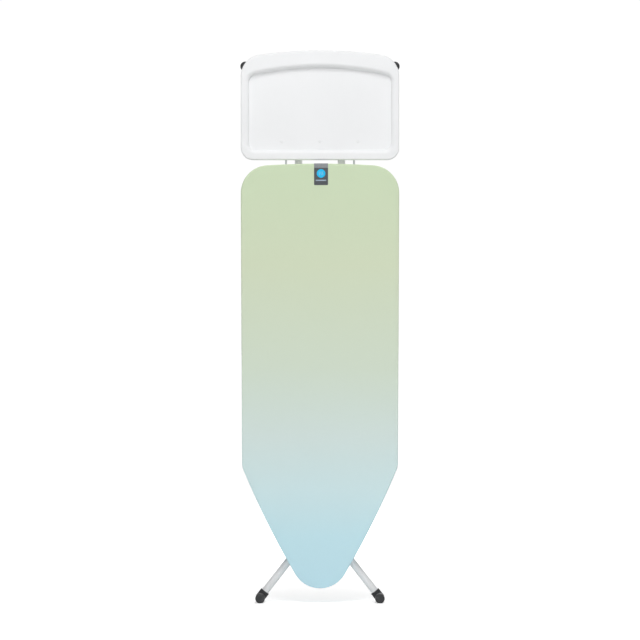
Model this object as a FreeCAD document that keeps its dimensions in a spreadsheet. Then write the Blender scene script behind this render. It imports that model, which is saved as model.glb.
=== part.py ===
import FreeCAD, Part
import math
import os
import Sketcher

# Ironing board with a steam-unit tray, folded flat and standing on the two feet at its nose.
# +Z runs up along the board from nose to tray, +X is to the right of someone who faces the
# ironing surface, and that surface faces -Y. The origin is on the floor, under the middle.

V = FreeCAD.Vector
Y_AXIS = V(0, 1, 0)
Z_AXIS = V(0, 0, 1)

# alias: (value in mm or degrees, what it is)
DIMENSIONS = {
    # board outline, measured at the cover's outer face
    "nose_height": (43, "height of the cover's nose tip above the floor"),
    "tail_height": (1276, "height of the cover's square end"),
    "nose_radius": (83, "round of the nose"),
    "nose_turn": (59.5, "angle that the nose round covers on each side"),
    "flank_radius": (2450, "slight bulge of the tapering flanks"),
    "shoulder_radius": (40, "round where flank and side meet"),
    "shoulder_z": (404, "height where flank and side would meet unrounded"),
    "shoulder_half": (226.4, "half width of the board there"),
    "tail_half": (230, "half width of the board at its square end"),
    "corner_radius": (80, "round of the two tail corners"),
    "tail_radius": (2400, "slight bulge of the square end"),
    # layers from front to back
    "label_front": (-32, "front of the label's badge"),
    "cover_front": (-31, "front of the cotton cover"),
    "cover_thick": (1, "cotton cover"),
    "mesh_front": (-24, "front of the steel mesh"),
    "mesh_thick": (1, "steel mesh"),
    "rim_od": (20, "diameter of the rim tube"),
    "rim_wall": (1.2, "wall of the rim tube"),
    "rim_inset": (11.6, "cover's outer face to the rim tube's centre line"),
    "hem_width": (28, "width of the hem behind the rim"),
    "leg_y": (18, "plane of the leg tubes"),
    # label
    "label_half": (20.5, "half width of the label"),
    "label_x": (3, "the label's middle, to the right of the board's middle"),
    "label_long": (63, "length of the label down from the square end"),
    "label_thick": (0.6, "label ribbon"),
    "badge_drop": (29, "square end to the badge's centre"),
    "badge_od": (25, "diameter of the badge"),
    # legs
    "leg_od": (22, "diameter of the leg tubes"),
    "leg_wall": (1.5, "wall of the leg tubes"),
    "arm_short": (400, "leg hinge to crossing point"),
    "fixed_z": (1188, "height of the fixed leg hinge"),
    "nose_leg_x": (36, "nose leg tubes, distance from the middle"),
    "tail_leg_x": (62.5, "tail leg tubes, distance from the middle"),
    "nose_foot_x": (174, "nose feet, distance from the middle"),
    "tail_foot_x": (218.5, "tail feet, distance from the middle"),
    "tail_foot_z": (1562, "height of the tail feet's round ends"),
    "splay": (38, "angle of the splayed tube ends from upright"),
    "leg_bend": (60, "radius of the leg tubes' bends"),
    "tube_past_pin": (15, "leg tube past its hinge"),
    "foot_od": (28, "diameter of the foot caps"),
    "foot_long": (23, "foot cap from its round end's centre to its mouth"),
    "foot_stop": (6, "round end's centre to the tube's end"),
    "sole_cut": (0.8, "how much the nose feet's flat soles take off their round"),
    "toe_reach": (48, "nose feet's toes, from the leg plane towards the board's front"),
    "brace_od": (16, "diameter of the braces between a pair of legs"),
    "brace_wall": (1.2, "wall of the braces"),
    # hinges
    "pivot_od": (10, "fixed hinge pin"),
    "axle_od": (8, "cross axle and sliding pins"),
    "run_gap": (0.06, "radial clearance of running fits"),
    # tracks
    "track_low": (352, "lower end of the tracks"),
    "track_high": (732, "upper end of the tracks"),
    "track_in": (77, "inner edge of the track flanges"),
    "track_out": (95, "outer face of the track web"),
    "track_foot": (110, "outer edge of the track's foot"),
    "track_wall": (1.5, "sheet of the tracks"),
    "track_bore": (18, "clear height between the track flanges"),
    "shoe_long": (40, "length of a slide shoe"),
    "slot_half": (5, "half width of the slot in the track web"),
    "stop_long": (8, "length of a track's end stop"),
    "rivet_od": (7, "diameter of the track rivets' heads"),
    # bracket of the fixed hinge
    "bracket_half": (20, "half length of the bracket along the board"),
    "bracket_wall": (2.5, "sheet of the bracket"),
    "bracket_reach": (11, "bracket's cheeks past the leg plane"),
    "bolt_x": (9, "bracket bolts, distance from the middle"),
    "bolt_od": (8, "diameter of the bolt heads"),
    # latch
    "latch_x": (118, "axis of the latch bar"),
    "latch_od": (8, "diameter of the latch bar"),
    "latch_low": (362, "lower end of the latch bar"),
    "latch_high": (1222, "upper end of the latch bar"),
    "latch_open": (22, "angle of the blade from its engaged place"),
    "blade_edge": (21, "reach of the blade from the bar's axis"),
    "blade_thick": (2, "thickness of the notched blade"),
    "pin_reach": (102, "outer end of the sliding pins"),
    "top_angle": (51.3, "leg angle of the highest position"),
    "low_angle": (32.2, "leg angle of the lowest position"),
    "grip_long": (34, "length of the grip's boss on the bar"),
    "grip_reach": (78, "grip's paddle, from the bar's axis to its end"),
    "grip_thick": (7, "thickness of the grip's paddle"),
    "clip_half": (7, "half width of a latch bearing round the bar"),
    "clip_foot": (22, "end of a latch bearing's foot, from the bar's axis"),
    "clip_sheet": (2.5, "thickness of a latch bearing's foot"),
    "spring_low": (1140, "lower end of the torsion spring"),
    "spring_long": (22, "length of the torsion spring"),
    # tray
    "tray_half": (230, "half width of the tray"),
    "tray_low": (1287, "lower edge of the tray"),
    "tray_top": (1605, "top of the tray's arched edge"),
    "tray_arch": (1250, "radius of the arched edge"),
    "tray_corner": (35, "round of the tray's lower corners"),
    "tray_front": (-22, "front of the tray's border"),
    "tray_floor": (-8, "front of the tray's floor"),
    "tray_skin": (3, "wall of the tray moulding"),
    "tray_back": (-3, "back of the tray's skirt"),
    "wire_x": (99, "tray wires, distance from the middle"),
    "wire_od": (6, "diameter of the tray wires"),
    "stud_z": (1341, "height of the tray screws"),
    "stud_pitch": (111, "spacing of ribs and screws"),
    "stud_od": (4, "shank of the tray screws"),
    "stud_head": (9, "head of the tray screws"),
    "tray_shoulder": (62, "round of the tray's upper corners"),
    "dish_side": (24, "tray's side to the dish"),
    "dish_low": (30, "tray's lower edge to the dish"),
    "dish_top": (49, "tray's top to the dish, at the middle"),
    "dish_arch": (877, "radius of the dish's arched edge"),
    "dish_lip": (13, "round of the lip between border and dish"),
    "rib_half": (7, "half width of a rib on the tray's floor"),
    "rib_high": (1, "height of the ribs"),
    "strap_half": (9, "half width of the straps under the tray"),
    "wire_bend": (14, "radius of the tray wire's bends"),
    "wire_past": (195, "tray wire's far end, from the screws"),
}

CROSS_MEMBERS = {"cross_member_nose": 440, "cross_member_middle": 590,
                 "cross_member_rear": 712, "cross_member_tail": 1188}
MEMBER_HIGH = 24
NOSE_BRACES, TAIL_BRACES = [270, 1090], [1332]
HEIGHT_STEPS = 7
SIDES = {"left": -1, "right": 1}

doc = FreeCAD.newDocument("ironing_board")
sheet = doc.addObject("Spreadsheet::Sheet", "dims")
for row, (alias, (value, note)) in enumerate(DIMENSIONS.items(), start=1):
    sheet.set(f"A{row}", alias)
    sheet.set(f"B{row}", str(value))
    sheet.set(f"C{row}", note)
    sheet.setAlias(f"B{row}", alias)
doc.recompute()


def size(text):
    """The value of an expression in the sheet's aliases."""
    result = sheet.evalExpression(text)
    return float(getattr(result, "Value", result))


def bound(text):
    """The same expression as another object of the document refers to it."""
    words = sorted(DIMENSIONS, key=len, reverse=True)
    out, pos = "", 0
    while pos < len(text):
        word = next((w for w in words if text.startswith(w, pos)), None)
        if word:
            out += "dims." + word
            pos += len(word)
        else:
            out += text[pos]
            pos += 1
    return out


def body(label):
    made = doc.addObject("PartDesign::Body", label)
    made.Label = label
    return made


def sketch(owner, name, role, offset="0"):
    """A sketch on one of the body's origin planes, moved along the plane's normal."""
    made = owner.newObject("Sketcher::SketchObject", f"{owner.Name}_{name}")
    plane = next(f for f in owner.Origin.OriginFeatures if f.Role == role)
    made.AttachmentSupport = [(plane, "")]
    made.MapMode = "FlatFace"
    made.setExpression("AttachmentOffset.Base.z", bound(offset))
    return made


def polygon(target, corners):
    """A closed polygon whose corners are pairs of expressions."""
    points = [V(size(cx), size(cy), 0) for cx, cy in corners]
    count = len(points)
    first = target.GeometryCount
    for k in range(count):
        target.addGeometry(Part.LineSegment(points[k], points[(k + 1) % count]))
    for k in range(count):
        target.addConstraint(Sketcher.Constraint("Coincident", first + k, 2,
                                                 first + (k + 1) % count, 1))
    for k, (cx, cy) in enumerate(corners):
        for kind, value, text in (("DistanceX", points[k].x, cx), ("DistanceY", points[k].y, cy)):
            index = target.addConstraint(Sketcher.Constraint(kind, -1, 1, first + k, 1, value))
            target.setExpression(f"Constraints[{index}]", bound(text))


def circle(target, cx, cy, diameter):
    """A circle whose centre and diameter are expressions."""
    centre = V(size(cx), size(cy), 0)
    index = target.addGeometry(Part.Circle(centre, Z_AXIS, size(diameter) / 2))
    rules = (("DistanceX", centre.x, cx), ("DistanceY", centre.y, cy))
    for kind, value, text in rules:
        rule = target.addConstraint(Sketcher.Constraint(kind, -1, 1, index, 3, value))
        target.setExpression(f"Constraints[{rule}]", bound(text))
    rule = target.addConstraint(Sketcher.Constraint("Diameter", index, size(diameter)))
    target.setExpression(f"Constraints[{rule}]", bound(diameter))


def rectangle(target, x0, y0, x1, y1):
    polygon(target, [(x0, y0), (x1, y0), (x1, y1), (x0, y1)])


def pad(owner, profile, length, back=False, both=False):
    made = owner.newObject("PartDesign::Pad", f"{profile.Name}_pad")
    made.Profile = profile
    made.Reversed = back
    made.Midplane = both
    made.setExpression("Length", bound(length))
    return made


def pocket(owner, profile, length=None, back=False, both=False):
    """Cuts along the sketch's normal backwards, or through everything without a length."""
    made = owner.newObject("PartDesign::Pocket", f"{profile.Name}_pocket")
    made.Profile = profile
    made.Reversed = back
    made.Midplane = both
    if length is None:
        made.Type = "ThroughAll"
    else:
        made.setExpression("Length", bound(length))
    return made


def revolve(owner, profile, axis):
    made = owner.newObject("PartDesign::Revolution", f"{profile.Name}_turn")
    made.Profile = profile
    made.ReferenceAxis = (profile, [axis])
    made.Angle = 360
    return made


def round_edges(owner, chosen, radius):
    """Rounds the edges of the body's tip that the test picks."""
    doc.recompute()
    names = [f"Edge{k}" for k, edge in enumerate(owner.Tip.Shape.Edges, start=1) if chosen(edge)]
    made = owner.newObject("PartDesign::Fillet", f"{owner.Name}_round{len(owner.Group)}")
    made.Base = (owner.Tip if owner.Tip != made else made.BaseFeature, names)
    made.Radius = radius
    return made


# ---------------------------------------------------------------- the board's outline

def outline_arcs(inset):
    """The outline's arcs as (centre, radius, start, end), counter-clockwise from the nose."""
    nose_r, flank_r = size("nose_radius"), size("flank_radius")
    turn = math.radians(size("nose_turn"))
    nose = V(0, size("nose_height") + nose_r, 0)
    flank = nose + V(-math.sin(turn), math.cos(turn), 0) * (flank_r - nose_r)

    low = V(size("shoulder_half"), size("shoulder_z"), 0)
    lean = V(size("tail_half"), size("tail_height - corner_radius"), 0) - low
    lean.normalize()
    inward = V(-lean.y, lean.x, 0)

    def on_side(reach, centre, radius, pick):
        """Point at this reach inside the side line and at this radius from the centre."""
        start = low + inward * reach - centre
        along = start.dot(lean)
        root = math.sqrt(along ** 2 - start.dot(start) + radius ** 2)
        return low + inward * reach + lean * (-along + pick * root)

    shoulder_r, corner_r = size("shoulder_radius"), size("corner_radius")
    shoulder = on_side(shoulder_r, flank, flank_r - shoulder_r, -1)
    tail_r = size("tail_radius")
    tail = V(0, size("tail_height") - tail_r, 0)
    corner = on_side(corner_r, tail, tail_r - corner_r, 1)

    def bearing(vector):
        return math.atan2(vector.y, vector.x)

    side = bearing(inward * -1)
    flank_end, corner_end = bearing(shoulder - flank), bearing(corner - tail)
    down = -math.pi / 2
    right = [(flank, flank_r, down + turn, flank_end), (shoulder, shoulder_r, flank_end, side),
             (corner, corner_r, side, corner_end)]
    left = [(V(-c.x, c.y, 0), r, math.pi - end, math.pi - start) for c, r, start, end in right]
    arcs = [(nose, nose_r, down, down + turn), *right,
            (tail, tail_r, corner_end, math.pi - corner_end), *reversed(left),
            (nose, nose_r, down - turn, down)]
    return [(c, r - inset, start, end) for c, r, start, end in arcs]


HALF_RADII = ["nose_radius", "flank_radius", "shoulder_radius", "corner_radius"]
OUTLINE_RADII = [*HALF_RADII, "tail_radius", *reversed(HALF_RADII)]


def outline(target, inset):
    """The board's outline, moved in by the inset, as arcs and the two straight sides."""
    arcs = outline_arcs(size(inset))
    pieces = []
    for k, (centre, radius, start, end) in enumerate(arcs):
        ring = Part.Circle(centre, Z_AXIS, radius)
        index = target.addGeometry(Part.ArcOfCircle(ring, start, end))
        pieces.append(index)
        rule = target.addConstraint(Sketcher.Constraint("Radius", index, radius))
        target.setExpression(f"Constraints[{rule}]", bound(f"{OUTLINE_RADII[k]} - ({inset})"))
        if k in (2, 5):
            after = arcs[k + 1]
            here = centre + V(math.cos(end), math.sin(end), 0) * radius
            there = after[0] + V(math.cos(after[2]), math.sin(after[2]), 0) * after[1]
            pieces.append(target.addGeometry(Part.LineSegment(here, there)))
    for k, index in enumerate(pieces):
        following = pieces[(k + 1) % len(pieces)]
        target.addConstraint(Sketcher.Constraint("Coincident", index, 2, following, 1))


def slab(label, inset, front, thick):
    """A flat layer with the board's outline."""
    made = body(label)
    shape = sketch(made, "outline", "XZ_Plane", f"-({front})")
    outline(shape, inset)
    pad(made, shape, thick, back=True)
    return made


def tube_path(target, points, bend):
    """A path of straight runs joined by arcs of one radius."""
    ends = [points[0]]
    for before, here, after in zip(points, points[1:], points[2:]):
        into, out = (before - here).normalize(), (after - here).normalize()
        half = into.getAngle(out) / 2
        tangent = bend / math.tan(half)
        middle = here + (into + out).normalize() * (bend / math.sin(half) - bend)
        ends += [here + into * tangent, middle, here + out * tangent]
    ends.append(points[-1])
    for k in range(0, len(ends) - 1, 3):
        target.addGeometry(Part.LineSegment(ends[k], ends[k + 1]))
        if k + 3 < len(ends):
            target.addGeometry(Part.Arc(ends[k + 1], ends[k + 2], ends[k + 3]))


def pipe(owner, profile, path, cut=False):
    kind = "SubtractivePipe" if cut else "AdditivePipe"
    made = owner.newObject(f"PartDesign::{kind}", f"{profile.Name}_pipe")
    made.Profile = profile
    made.Spine = (path, [f"Edge{k + 1}" for k in range(path.GeometryCount)])
    return made


# ---------------------------------------------------------------- ironing surface and frame

rim_centre = "mesh_front + mesh_thick + rim_od/2"
rim_back = "mesh_front + mesh_thick + rim_od"

slab("mesh_top", "rim_inset", "mesh_front", "mesh_thick")
slab("felt_pad", "cover_thick + 0.3", "cover_front + cover_thick",
     "mesh_front - cover_front - cover_thick")

rim = body("rim_tube")
rim_path = sketch(rim, "path", "XZ_Plane", f"-({rim_centre})")
outline(rim_path, "rim_inset")
for k, diameter in enumerate(("rim_od", "rim_od - 2*rim_wall")):
    ring = sketch(rim, f"ring{k}", "YZ_Plane")
    circle(ring, rim_centre, "nose_height + rim_inset", diameter)
    pipe(rim, ring, rim_path, cut=k == 1)

cover = body("cotton_cover")
cover_depth = f"({rim_back}) + 1.5 - cover_front"
face = sketch(cover, "outline", "XZ_Plane", "-cover_front")
outline(face, "0")
pad(cover, face, cover_depth, back=True)
hollow = sketch(cover, "hollow", "XZ_Plane", "-(cover_front + cover_thick)")
outline(hollow, "cover_thick")
pocket(cover, hollow, f"{cover_depth} - 2*cover_thick - 0.2")
mouth = sketch(cover, "mouth", "XZ_Plane", "-mesh_front")
outline(mouth, "hem_width")
pocket(cover, mouth)
slots = sketch(cover, "wire_slots", "XZ_Plane", f"-({rim_back} - 0.3)")
for side in (-1, 1):
    low_x, high_x = f"{side}*wire_x - 5", f"{side}*wire_x + 5"
    rectangle(slots, low_x, "tail_height - 45", high_x, "tail_height + 5")
pocket(cover, slots)

label = body("label_tab")
tab = sketch(label, "tab", "XZ_Plane", "-(cover_front - label_thick)")
rectangle(tab, "label_x - label_half", "tail_height - label_long", "label_x + label_half",
          "tail_height - 0.5")
pad(label, tab, "label_thick", back=True)
badge = body("label_disc")
disc = sketch(badge, "disc", "XZ_Plane", "-label_front")
circle(disc, "label_x", "tail_height - badge_drop", "badge_od")
pad(badge, disc, "cover_front - label_thick - label_front", back=True)

# Cross bars, each cut to meet the rim tube's round inner side.
rim_outer = doc.addObject("Part::Feature", "rim_outer_tool")
doc.recompute()
rim_outer.Shape = rim.Group[2].Shape.copy()
for name, height in CROSS_MEMBERS.items():
    share = (height - size("shoulder_z")) / size("tail_height - corner_radius - shoulder_z")
    rim_x = size(f"shoulder_half + {share:.5f}*(tail_half - shoulder_half) - rim_inset")
    bar = doc.addObject("Part::Box", f"{name}_bar")
    bar.Length = 2 * (rim_x - 6)
    bar.setExpression("Width", bound("rim_od"))
    bar.Height = MEMBER_HIGH
    place = V(6 - rim_x, size("mesh_front + mesh_thick"), height - MEMBER_HIGH / 2)
    bar.Placement = FreeCAD.Placement(place, FreeCAD.Rotation())
    coped = doc.addObject("Part::Cut", f"{name}_coped")
    coped.Base, coped.Tool = bar, rim_outer
    inner = doc.addObject("Part::Box", f"{name}_inside")
    inner.Length = 2 * rim_x
    inner.setExpression("Width", bound("rim_od - 2*rim_wall"))
    inner.setExpression("Height", bound(f"{MEMBER_HIGH} - 2*rim_wall"))
    wall = size("rim_wall")
    inner.Placement = FreeCAD.Placement(place + V(-6, wall, wall), FreeCAD.Rotation())
    final = doc.addObject("Part::Cut", name)
    final.Base, final.Tool = coped, inner

# ---------------------------------------------------------------- tracks for the sliding pins

track_back = "leg_y + track_bore/2 + track_wall"
track_front = "leg_y - track_bore/2 - track_wall"
for side, sign in SIDES.items():
    track = body(f"track_{side}")
    section = sketch(track, "section", "XY_Plane", "track_low")
    xs = {key: f"{sign}*{key}" for key in ("track_in", "track_out", "track_foot")}
    web = f"{sign}*(track_out - track_wall)"
    polygon(section, [
        (xs["track_in"], track_back), (xs["track_out"], track_back),
        (xs["track_out"], f"({rim_back}) + track_wall"), (xs["track_foot"], f"({rim_back}) + track_wall"),
        (xs["track_foot"], rim_back), (web, rim_back),
        (web, track_front), (xs["track_in"], track_front),
        (xs["track_in"], f"({track_front}) + track_wall"), (web, f"({track_front}) + track_wall"),
        (web, f"({track_back}) - track_wall"), (xs["track_in"], f"({track_back}) - track_wall")])
    pad(track, section, "track_high - track_low")
    slot = sketch(track, "slot", "YZ_Plane", web)
    rectangle(slot, "leg_y - slot_half", "track_low + 24", "leg_y + slot_half", "track_high - 30")
    pocket(track, slot, "track_wall", back=sign > 0)

rivets = body("track_rivets")
rivet_heads = sketch(rivets, "heads", "XZ_Plane", f"-({rim_back} + track_wall)")
for name in ("cross_member_nose", "cross_member_middle", "cross_member_rear"):
    for sign in SIDES.values():
        circle(rivet_heads, f"{sign}*(track_out + track_foot)/2", str(CROSS_MEMBERS[name]),
               "rivet_od")
pad(rivets, rivet_heads, "1.6", back=True)

stops = body("track_end_stops")
for place, z0 in (("low", "track_low + 2"), ("high", "track_high - stop_long - 2")):
    block = sketch(stops, place, "XY_Plane", z0)
    for sign in SIDES.values():
        rectangle(block, f"{sign}*(track_in + 1)", "leg_y - track_bore/2",
                  f"{sign}*(track_out - track_wall)", "leg_y + track_bore/2")
    pad(stops, block, "stop_long")

# ---------------------------------------------------------------- fixed hinge of the nose legs

bracket = body("pivot_bracket")
cheek_x = "nose_leg_x - leg_od/2 - 1"
channel = sketch(bracket, "channel", "XY_Plane", "fixed_z - bracket_half")
cheek_y, floor_y = "leg_y + bracket_reach", f"({rim_back}) + bracket_wall"
polygon(channel, [(f"-({cheek_x})", cheek_y), (f"-({cheek_x})", rim_back),
                  (cheek_x, rim_back), (cheek_x, cheek_y),
                  (f"({cheek_x}) - bracket_wall", cheek_y), (f"({cheek_x}) - bracket_wall", floor_y),
                  (f"bracket_wall - ({cheek_x})", floor_y), (f"bracket_wall - ({cheek_x})", cheek_y)])
pad(bracket, channel, "2*bracket_half")
bore = sketch(bracket, "bore", "YZ_Plane")
circle(bore, "leg_y", "fixed_z", "pivot_od")
pocket(bracket, bore, both=True)
round_edges(bracket, lambda e: abs(e.BoundBox.XLength - size("bracket_wall")) < 0.01
            and e.CenterOfMass.y > size("leg_y + 10"), 9)

bracket_bolts = body("bracket_bolts")
bolt_heads = sketch(bracket_bolts, "heads", "XZ_Plane", f"-({floor_y})")
for sign in SIDES.values():
    circle(bolt_heads, f"{sign}*bolt_x", "fixed_z", "bolt_od")
pad(bracket_bolts, bolt_heads, "2", back=True)


def cross_pin(label, x0, x1, z, diameter):
    """A round pin along X through the plane of the legs."""
    made = body(label)
    end = sketch(made, "end", "YZ_Plane", x0)
    circle(end, "leg_y", z, diameter)
    pad(made, end, f"({x1}) - ({x0})")
    return made


def rings(label, z, bore_size, outer, spans):
    """Washers, caps or spacers round a pin: one ring for each span along X."""
    made = body(label)
    for k, (x0, x1) in enumerate(spans):
        face_ring = sketch(made, f"ring{k}", "YZ_Plane", x0)
        circle(face_ring, "leg_y", z, outer)
        circle(face_ring, "leg_y", z, bore_size)
        pad(made, face_ring, f"({x1}) - ({x0})")
    return made


pivot_end = "nose_leg_x + leg_od/2 + 3.4"
cross_pin("pivot_pin", f"-({pivot_end})", pivot_end, "fixed_z", "pivot_od")
cap_in = "nose_leg_x + leg_od/2 + 0.4"
rings("pivot_pin_caps", "fixed_z", "pivot_od", "pivot_od + 5",
      [(cap_in, pivot_end), (f"-({pivot_end})", f"-({cap_in})")])

# ---------------------------------------------------------------- legs

cross_z = "fixed_z - arm_short"
slide_z = "fixed_z - 2*arm_short"
splay = math.radians(size("splay"))


def leg_tube(label, sign, leg_x, foot_x, foot_z, hinge_z, holes):
    """A straight tube that bends outwards to its foot, with cross holes for the pins."""
    x, far, foot = sign * size(leg_x), sign * size(foot_x), size(foot_z)
    up = 1 if size(hinge_z) > foot else -1
    bend_z = foot + up * (abs(far) - abs(x)) / math.tan(splay)
    end_z = size(hinge_z) + up * size("tube_past_pin")
    along = V(math.sin(splay) * sign, -up * math.cos(splay), 0)
    last = V(far, foot, 0) - along * size("foot_stop")
    made = body(label)
    path = sketch(made, "path", "XZ_Plane", "-leg_y")
    tube_path(path, [V(x, end_z, 0), V(x, bend_z, 0), last], size("leg_bend"))
    ring = sketch(made, "ring", "XY_Plane", f"({hinge_z}) + {up}*tube_past_pin")
    circle(ring, f"{sign}*{leg_x}", "leg_y", "leg_od")
    circle(ring, f"{sign}*{leg_x}", "leg_y", "leg_od - 2*leg_wall")
    pipe(made, ring, path)
    for k, (z, diameter) in enumerate(holes):
        hole = sketch(made, f"hole{k}", "YZ_Plane", f"{sign}*{leg_x}")
        circle(hole, "leg_y", z, diameter)
        pocket(made, hole, "leg_od + 8", both=True)
    return made


def foot_cap(label, sign, foot_x, foot_z, lean, toe=False):
    """A turned cap with a ball end, drawn along +Z and laid along the splayed tube."""
    made = body(label)
    half = sketch(made, "half", "XZ_Plane")
    r, long, stop = size("foot_od") / 2, size("foot_long"), size("foot_stop")
    bore = size("leg_od") / 2
    corners = [V(0, -r, 0), V(r, 0, 0), V(r, long, 0), V(bore, long, 0), V(bore, stop, 0),
               V(0, stop, 0)]
    middle = V(r * math.sin(math.pi / 4), -r * math.cos(math.pi / 4), 0)
    half.addGeometry(Part.Arc(corners[0], middle, corners[1]))
    for start, end in zip(corners[1:], corners[2:] + corners[:1]):
        half.addGeometry(Part.LineSegment(start, end))
    revolve(made, half, "V_Axis")
    doc.recompute()
    round_edges(made, lambda e: abs(e.CenterOfMass.z - long) < 0.01
                and e.BoundBox.XLength > 2 * r - 0.1, 1.5)
    turn = FreeCAD.Rotation(Y_AXIS, lean)
    if toe:
        add_toe(made, turn.inverted().multVec(V(0, 0, -1)))
    made.Placement = FreeCAD.Placement(V(sign * size(foot_x), size("leg_y"), size(foot_z)), turn)


def add_toe(cap, down):
    """A round block under the cap that reaches to the board's front, with a flat sole below."""
    block = sketch(cap, "toe", "XZ_Plane")
    circle(block, "0", "0", "foot_od")
    pad(cap, block, "toe_reach")
    doc.recompute()
    round_edges(cap, lambda e: abs(e.BoundBox.YMax + size("toe_reach")) < 0.01, 4)
    bore = sketch(cap, "bore", "XY_Plane", "foot_stop")
    circle(bore, "0", "0", "leg_od")
    pocket(cap, bore, "foot_long", back=True)
    sole = sketch(cap, "sole", "XZ_Plane")
    level = down * size("foot_od/2 - sole_cut")
    side = V(-down.z, 0, down.x) * size("foot_od")
    deep = down * size("foot_od")
    polygon(sole, [(f"{p.x:.4f}", f"{p.z:.4f}") for p in (level - side, level + side,
                                                         level + side + deep, level - side + deep)])
    pocket(cap, sole, "4*toe_reach", both=True)


def brace(label, leg_x, heights):
    """Short tubes between a pair of legs, each coped to the round legs at its ends."""
    cuts = []
    for k, height in enumerate(heights):
        bar = doc.addObject("Part::Cylinder", f"{label}_bar{k}")
        bar.setExpression("Radius", bound("brace_od/2"))
        bar.setExpression("Height", bound(f"2*{leg_x}"))
        bar.Placement = FreeCAD.Placement(V(-size(leg_x), size("leg_y"), height),
                                          FreeCAD.Rotation(Y_AXIS, 90))
        core = doc.addObject("Part::Cylinder", f"{label}_core{k}")
        core.setExpression("Radius", bound("brace_od/2 - brace_wall"))
        core.setExpression("Height", bound(f"2*{leg_x}"))
        core.Placement = bar.Placement
        tube = doc.addObject("Part::Cut", f"{label}_tube{k}")
        tube.Base, tube.Tool = bar, core
        cuts.append(tube)
    legs = []
    for sign in SIDES.values():
        leg = doc.addObject("Part::Cylinder", f"{label}_leg{sign + 1}")
        leg.setExpression("Radius", bound("leg_od/2"))
        leg.setExpression("Height", bound("tray_top"))
        leg.Placement = FreeCAD.Placement(V(sign * size(leg_x), size("leg_y"), 0), FreeCAD.Rotation())
        legs.append(leg)
    both = doc.addObject("Part::MultiFuse", f"{label}_legs")
    both.Shapes = legs
    bars = cuts[0]
    if len(cuts) > 1:
        bars = doc.addObject("Part::MultiFuse", f"{label}_bars")
        bars.Shapes = cuts
    made = doc.addObject("Part::Cut", label)
    made.Base, made.Tool = bars, both
    return made


def plugs(label, leg_x, z0, z1):
    """Plugs pushed in the open ends of a pair of leg tubes."""
    made = body(label)
    disc_pair = sketch(made, "discs", "XY_Plane", z0)
    for sign in SIDES.values():
        circle(disc_pair, f"{sign}*{leg_x}", "leg_y", "leg_od - 2*leg_wall")
    pad(made, disc_pair, f"({z1}) - ({z0})")
    return made


foot_low = "foot_od/2 - sole_cut"
pivot_hole, axle_hole = "pivot_od + 2*run_gap", "axle_od + 2*run_gap"
for side, sign in SIDES.items():
    leg_tube(f"nose_leg_{side}", sign, "nose_leg_x", "nose_foot_x", foot_low, "fixed_z",
             [("fixed_z", pivot_hole), (cross_z, "axle_od")])
    leg_tube(f"tail_leg_{side}", sign, "tail_leg_x", "tail_foot_x", "tail_foot_z", slide_z,
             [(slide_z, "axle_od"), (cross_z, axle_hole)])
    foot_cap(f"nose_foot_{side}", sign, "nose_foot_x", foot_low, -sign * size("splay"), toe=True)
    foot_cap(f"tail_foot_{side}", sign, "tail_foot_x", "tail_foot_z", 180 + sign * size("splay"))
brace("nose_leg_braces", "nose_leg_x", NOSE_BRACES)
brace("tail_leg_brace", "tail_leg_x", TAIL_BRACES)
plugs("nose_leg_plugs", "nose_leg_x", "fixed_z + tube_past_pin - 7", "fixed_z + tube_past_pin + 0.8")
plugs("tail_leg_plugs", "tail_leg_x", f"{slide_z} - tube_past_pin - 0.8",
      f"{slide_z} - tube_past_pin + 7")

axle_end = "tail_leg_x + leg_od/2 + 3.2"
cross_pin("cross_axle", f"-({axle_end})", axle_end, cross_z, "axle_od")
cap_start = "tail_leg_x + leg_od/2 + 0.3"
rings("cross_axle_caps", cross_z, "axle_od", "axle_od + 7",
      [(cap_start, axle_end), (f"-({axle_end})", f"-({cap_start})")])
gap_in, gap_out = "nose_leg_x + leg_od/2 + 0.1", "tail_leg_x - leg_od/2 - 0.1"
rings("cross_spacers", cross_z, "axle_od + 0.2", "axle_od + 8",
      [(gap_in, gap_out), (f"-({gap_out})", f"-({gap_in})")])

# ---------------------------------------------------------------- sliding pins and shoes

for side, sign in SIDES.items():
    ends = sorted([f"{sign}*(tail_leg_x - leg_od/2 - 2)", f"{sign}*pin_reach"], key=size)
    cross_pin(f"slide_pin_{side}", *ends, slide_z, "axle_od")
    shoe = body(f"slide_shoe_{side}")
    front = sketch(shoe, "front", "XY_Plane", f"{slide_z} - shoe_long/2")
    rectangle(front, f"{sign}*(track_in + 0.8)", "leg_y - track_bore/2 + 0.15",
              f"{sign}*(track_out - track_wall - 0.4)", "leg_y + track_bore/2 - 0.15")
    pad(shoe, front, "shoe_long")
    eye = sketch(shoe, "eye", "YZ_Plane", f"{sign}*track_in")
    circle(eye, "leg_y", slide_z, axle_hole)
    pocket(shoe, eye, "80", both=True)
    round_edges(shoe, lambda e: e.BoundBox.XLength > 10
                and abs(abs(e.CenterOfMass.z - size(slide_z)) - size("shoe_long/2")) < 0.01, 3)

# ---------------------------------------------------------------- latch bar and release grip

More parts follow.
